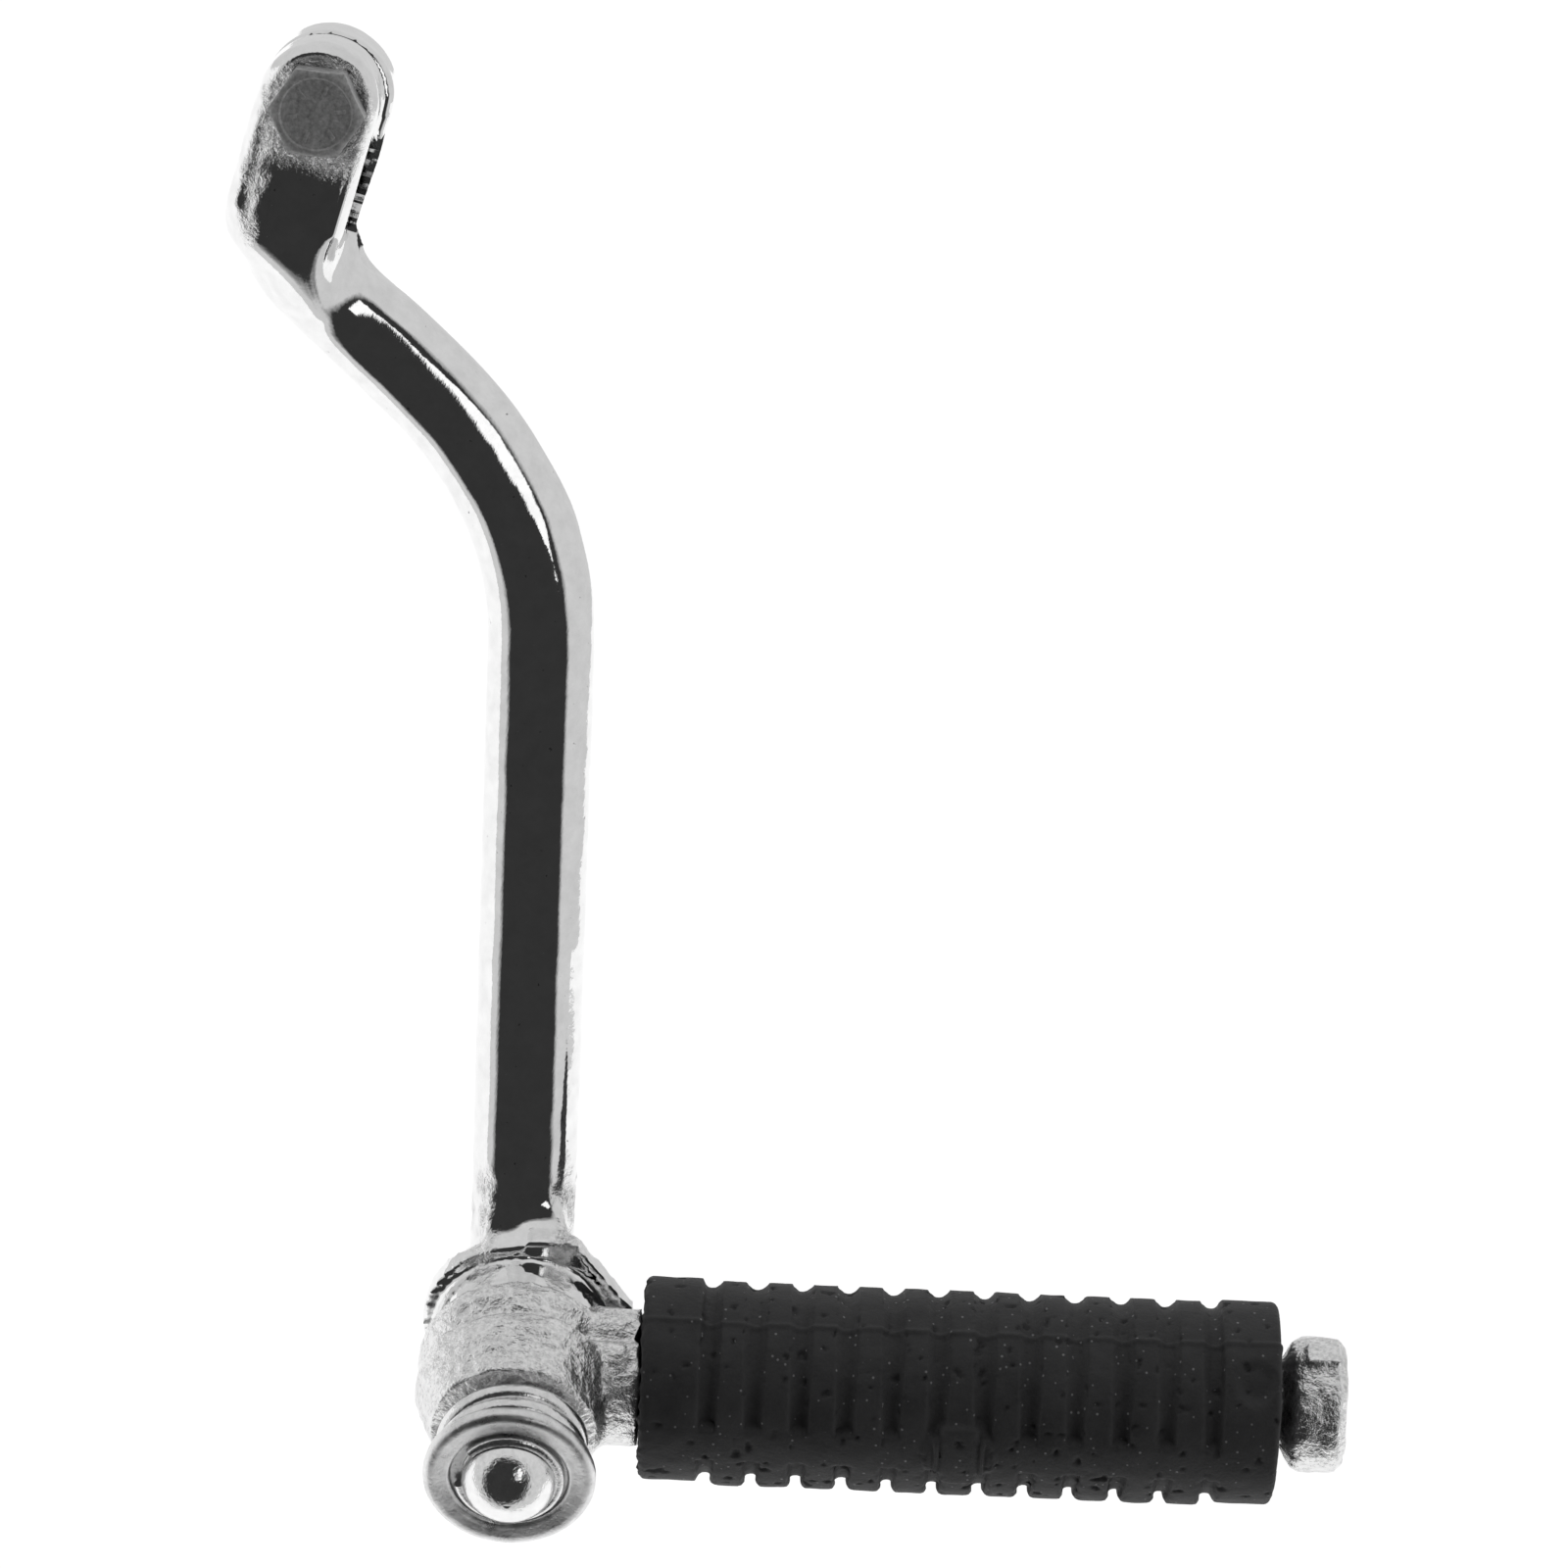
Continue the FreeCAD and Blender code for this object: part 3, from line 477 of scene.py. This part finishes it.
def forging_swell(place, normal):
    """Slow waves along the bar, crumpled rough faces, and the clamp's uneven halves."""
    point = place / MM
    cast = cast_weight(point)
    waves = 0.10 * noise.noise(point * 0.11)
    crumple = 0.45 * noise.noise(point * 0.42) + 0.20 * noise.noise(point * 1.1) - 0.08
    push = normal * (waves + cast * crumple)
    in_clamp = near(point.z, -17, -9)
    right = near(point.x, 2.0, 8.5) * in_clamp
    push.x -= 0.9 * right * (1 - near(point.y, -2.5, -0.5))
    push.x += 0.4 * right * near(point.y, 0.5, 2.5) * near(point.z, -6, 6)
    left = (1 - near(point.x, -9.0, -3.0)) * in_clamp * (1 - near(point.y, SEAT + 2.5, SEAT + 7.0))
    push.y += 2.4 * left * (1 - near(point.z, 10, 18))
    return push * MM


def forge_arm():
    """The forging: one even skin, melted edges, polished bar, and rough faces where it was cast."""
    arm = copy_of("lever_arm", "lever_arm_forging")
    for vertex in arm.data.vertices:
        away = math.hypot(vertex.co.y, vertex.co.z)
        if away < (BORE + TOOTH_DEPTH + 0.2) * MM and abs(vertex.co.x) < (CLAMP_WIDTH / 2 + 0.3) * MM:
            vertex.co.y *= (BORE - BORE_FILL) * MM / away
            vertex.co.z *= (BORE - BORE_FILL) * MM / away
    even_out(arm, 0.5, 5)
    melt_zone(arm, "neck", neck_weight, 320)
    melt_zone(arm, "foot", foot_weight, 40)
    press(arm, forging_swell)
    cut(arm, serration_cutter())
    mark = arm.data.attributes.new("cast", "FLOAT", "POINT")
    mark.data.foreach_set("value", [cast_weight(vertex.co / MM) for vertex in arm.data.vertices])
    shade_smooth(arm, 40)
    return arm


# ------------------------------------------------------------------ pinch bolt

BOLT_FLATS = 11.0
BOLT_TURN = math.radians(-19.0)
BOLT_RADIUS = 3.5
THREAD_PITCH = 1.0
DASHES = 6


def lathe(name, profile, steps=96):
    """Spins a profile of (radius, depth) points, in mm, about Z."""
    bpy.ops.object.select_all(action="DESELECT")
    bpy.ops.mesh.primitive_plane_add(size=1)
    piece = bpy.context.object
    piece.name = name
    mesh = bmesh.new()
    points = [mesh.verts.new(Vector((radius, 0, depth)) * MM) for radius, depth in profile]
    for start, end in zip(points, points[1:] + points[:1]):
        mesh.edges.new((start, end))
    mesh.to_mesh(piece.data)
    mesh.free()
    bpy.ops.object.mode_set(mode="EDIT")
    bpy.ops.mesh.select_all(action="SELECT")
    bpy.ops.mesh.spin(steps=steps, angle=math.tau, center=(0, 0, 0), axis=(0, 0, 1))
    bpy.ops.mesh.select_all(action="SELECT")
    bpy.ops.mesh.remove_doubles(threshold=0.004 * MM)
    bpy.ops.mesh.normals_make_consistent(inside=False)
    bpy.ops.object.mode_set(mode="OBJECT")
    return piece


def stand(piece, origin, along, across):
    """Turns a piece drawn about Z so that its Z runs along a direction, then fixes its place in its mesh."""
    along = along.normalized()
    across = (across - along * across.dot(along)).normalized()
    turn = Matrix((across, along.cross(across), along)).transposed().to_4x4()
    piece.data.transform(Matrix.Translation(origin) @ turn)
    return piece


def thread_profile(radius, length, pitch, depth, tip):
    """Closed outline of a plain shank whose end is threaded and pointed."""
    points = [(0.0, 0.0), (radius, 0.0)]
    start = length * 0.4
    while start < length - tip - pitch:
        points += [(radius, start), (radius - depth, start + pitch / 2)]
        start += pitch
    return points + [(radius, start), (radius, length - tip), (radius - tip, length), (0.0, length)]


def make_bolt():
    """Chamfered hexagon head with a turned rim, plain raised dashes, and a threaded shank."""
    bpy.ops.object.select_all(action="DESELECT")
    corner = BOLT_FLATS / 2 / math.cos(math.radians(30))
    bpy.ops.mesh.primitive_cylinder_add(vertices=6, radius=corner * MM, depth=HEAD_HEIGHT * MM,
                                        location=(0, 0, HEAD_HEIGHT / 2 * MM))
    head = bpy.context.object
    bpy.ops.object.transform_apply(location=True, rotation=True, scale=True)
    head.data.transform(Matrix.Rotation(BOLT_TURN, 4, "Z"))
    flat = BOLT_FLATS / 2 - 0.35
    drum = lathe("drum", [(0, -1), (corner + 1, -1), (corner + 1, HEAD_HEIGHT - (corner + 1 - flat) * 0.5),
                          (flat, HEAD_HEIGHT), (flat - 0.35, HEAD_HEIGHT), (flat - 0.6, HEAD_HEIGHT - 0.18),
                          (0, HEAD_HEIGHT - 0.12)])
    trim = head.modifiers.new("trim", "BOOLEAN")
    trim.operation = "INTERSECT"
    trim.solver = "EXACT"
    trim.object = drum
    soften = head.modifiers.new("soften", "BEVEL")
    soften.width = 0.12 * MM
    soften.segments = 2
    soften.limit_method = "ANGLE"
    soften.angle_limit = math.radians(28)
    apply_all(head)
    bpy.data.objects.remove(drum, do_unlink=True)
    head.name = "pinch_bolt_turned"
    parts = [head]
    for count in range(DASHES):
        bpy.ops.mesh.primitive_cube_add(size=1)
        dash = bpy.context.object
        dash.scale = (1.5 * MM, 0.5 * MM, 0.5 * MM)
        bpy.ops.object.transform_apply(location=False, rotation=False, scale=True)
        edge = dash.modifiers.new("edge", "BEVEL")
        edge.width = 0.09 * MM
        edge.segments = 2
        apply_all(dash)
        place = Matrix.Translation(Vector((3.2, 0, HEAD_HEIGHT - 0.14)) * MM)
        dash.data.transform(Matrix.Rotation(math.tau * count / DASHES + 0.4, 4, "Z") @ place)
        parts.append(dash)
    length = (BOLT_HIGH.y - BOLT_LOW.y) / MM - HEAD_HEIGHT
    shank = lathe("shank", thread_profile(BOLT_RADIUS, length + 0.4, THREAD_PITCH, 0.5, 0.8), 48)
    shank.data.transform(Matrix.Translation(Vector((0, 0, 0.4 * MM))) @ Matrix.Rotation(math.pi, 4, "X"))
    parts.append(shank)
    bpy.ops.object.select_all(action="DESELECT")
    for part in parts:
        part.select_set(True)
    bpy.context.view_layer.objects.active = head
    bpy.ops.object.join()
    seat = Vector((0, BOLT_LOW.y + HEAD_HEIGHT * MM, BOLT_HEIGHT * MM))
    stand(head, seat, Vector((0, -1, 0)), Vector((1, 0, 0)))
    shade_smooth(head, 30)
    return head


# ------------------------------------------------------------------ spring plate

PLATE_BACK = 35.65
PLATE_THICK = 2.3
PLATE_RADIUS = 11.7


def make_plate():
    """Pressed plate: rolled rim, slightly dished face, and the ring's recess round the pin."""
    rim = PLATE_RADIUS
    thick = PLATE_THICK
    profile = [(6.45, 0.0), (rim - 1.0, 0.0), (rim - 0.45, 0.12), (rim - 0.1, 0.45),
               (rim, 1.0), (rim - 0.08, 1.6), (rim - 0.4, 2.05), (rim - 0.9, thick),
               (rim - 1.6, 2.22), (rim - 2.4, 2.1), (9.0, 2.05),
               (8.5, 2.02), (8.2, 1.9), (7.95, 1.5), (7.9, 1.0), (6.45, 1.0)]
    plate = lathe("spring_plate_pressed", profile, 128)
    stand(plate, PIVOT + PIN * PLATE_BACK * MM, PIN, PEG)
    press(plate, lambda place, normal: normal * 0.05 * MM * noise.noise(place / MM * 0.5))
    shade_smooth(plate, 40)
    return plate


# ------------------------------------------------------------------ foot peg


SPRING_SEAT = 28.3
ROD_SHOWS_TO = 22
HEAD_SHOWS_FROM = 103


def crumple_casting(place, normal):
    """Dents over the hub, neck and end head, but not in the pin's bore or along the hidden rod."""
    where = in_pin_frame(place)
    in_bore = math.hypot(where.x, where.y) < 8.0
    if in_bore or ROD_SHOWS_TO < where.x < HEAD_SHOWS_FROM:
        return Vector()
    point = place / MM
    dents = 0.42 * noise.noise(point * 0.17) + 0.22 * noise.noise(point * 0.5)
    dents += 0.07 * noise.noise(point * 1.3)
    around = math.hypot(where.x, where.y)
    on_top = near(around, 9.5, 11.5) * near(where.y / around, 0.1, 0.7)
    cove = min(1.0, max(0.0, (where.z - 14.8) / 2.6)) * (1 - near(where.z, 17.4, 19.4)) * 1.5
    lift = dents - 0.2 - on_top * cove
    return normal * min(lift, 0.4 * (1 - near(where.z, SPRING_SEAT - 3.0, SPRING_SEAT - 1.2))) * MM


def cast_hub():
    """Hub, neck, rod and end head: a crumpled casting under chrome."""
    hub = copy_of("foot_peg", "peg_casting")
    even_out(hub, 0.42, 6)
    press(hub, crumple_casting)
    shade_smooth(hub)
    return hub


# ------------------------------------------------------------------ peg rubber

ROD_DEPTH = 15.55
RUBBER_RADIUS = 13.9


ROD_RADIUS = 6.0
RUBBER_START, RUBBER_END = 17.2, 104.0
GROOVES = 12
GROOVE_PITCH = 6.25
GROOVE_MOUTH = 2.65
GROOVE_FLOOR = 1.6
GROOVE_DEPTH = 1.3
PLAIN_BAND = 12.0
END_LIP = 0.5


def sleeve_profile():
    """Outline of the sleeve as (radius, place along the rod): soft ribs between two plain ends."""
    inside = RUBBER_RADIUS - END_LIP
    points = [(ROD_RADIUS, RUBBER_START), (inside, RUBBER_START), (RUBBER_RADIUS, RUBBER_START + END_LIP)]
    middle = (RUBBER_START + RUBBER_END) / 2
    for count in range(GROOVES):
        centre = middle + (count - (GROOVES - 1) / 2) * GROOVE_PITCH
        for side, sunk in ((-GROOVE_MOUTH, 0), (-GROOVE_FLOOR, GROOVE_DEPTH), (GROOVE_FLOOR, GROOVE_DEPTH),
                           (GROOVE_MOUTH, 0)):
            points.append((RUBBER_RADIUS - sunk, centre + side / 2))
    points += [(RUBBER_RADIUS, RUBBER_END - END_LIP), (inside, RUBBER_END), (ROD_RADIUS, RUBBER_END)]
    return points


def mould_sleeve():
    """Rubber sleeve: soft ribs, parting line, a round pad on the plain band, nicks and flash."""
    sleeve = lathe("peg_sleeve", sleeve_profile(), 160)
    stand(sleeve, PIVOT + PIN * ROD_DEPTH * MM, PEG, PIN)
    even_out(sleeve, 0.42, 1)
    low, high = RUBBER_START, RUBBER_END
    middle = (low + high) / 2

    def moulding(place, normal):
        where = in_pin_frame(place)
        out = Vector((0, where.y, where.z - ROD_DEPTH))
        radius = out.length
        if radius < 8:
            return Vector()
        turn = math.degrees(math.atan2(out.y, out.z))
        fill = 0.0
        if radius > RUBBER_RADIUS - GROOVE_DEPTH - 0.5 and low + 4 < where.x < high - 4:
            band = 1 - near(abs(turn), PLAIN_BAND - 1.0, PLAIN_BAND + 1.0)
            fill = band * max(0.0, RUBBER_RADIUS - radius)
        radius += fill
        lift = 0.10 * noise.noise(where * 0.13) + 0.07 * noise.noise(where * 0.45)
        pad = 1 - near(math.hypot(where.x - middle, math.radians(turn) * radius), 4.7, 5.2)
        lift += 0.75 * pad * near(radius, 12.0, 12.6)
        lift += 0.25 * (1 - near(abs(turn - 76), 0.8, 2.0))
        lift -= 0.7 * (1 - near(math.hypot(where.x - high + 3.5, (turn - 52) * 0.2), 1.5, 3.2))
        ribbed = near(where.x, low + 8.6, low + 9.4) * (1 - near(where.x, high - 9.4, high - 8.6))
        crest = ribbed * near(radius, RUBBER_RADIUS - 1.0, RUBBER_RADIUS - 0.4)
        lift += crest * (0.55 * near(-out.y / radius, 0.3, 0.95) - 0.35 * near(out.y / radius, 0.3, 0.95))
        lift -= 0.45 * near(noise.noise(where * 0.8 + Vector((3, 9, 1))), 0.5, 0.62)
        ragged = max(0.0, noise.noise(where * 0.9 + Vector((7, 0, 0))))
        ragged *= 1 - near(where.x, low + 0.5, low + 1.6)
        filled = (RISE * out.y + PIN * out.z) * fill / out.length
        return (normal * lift + filled - PEG * ragged * 0.6) * MM

    press(sleeve, moulding)
    shade_smooth(sleeve)
    return sleeve


set_camera()
lay_floor()
light_room()
hang_light("softbox", SOFTBOX_WAY, SOFTBOX_AWAY, SOFTBOX_SIZE, SOFTBOX_POWER)
bpy.context.scene.view_settings.view_transform = "Standard"

polished = plated_finish("arm_chrome", 0.93, 0.045, 0.10, 0.25, 0.12)
cast = cast_chrome()
steel = bolt_steel()
zinc = zinc_plate()
rubber = black_rubber()
wire = plated_finish("spring_wire", 0.85, 0.14, 0.05, 0.3, 0.1)

finish(forge_arm(), forged_finish(), "lever", "lever_arm")
finish(make_bolt(), steel, "lever", "pinch_bolt")
finish(make_plate(), zinc, "lever", "spring_plate")
finish(cast_hub(), cast, "peg", "foot_peg")
finish(mould_sleeve(), rubber, "peg", "peg_rubber")

for node, material in (("pivot_pin", polished), ("snap_ring", wire), ("peg_spring", wire)):
    for slot in NODES[node].material_slots:
        slot.material = material
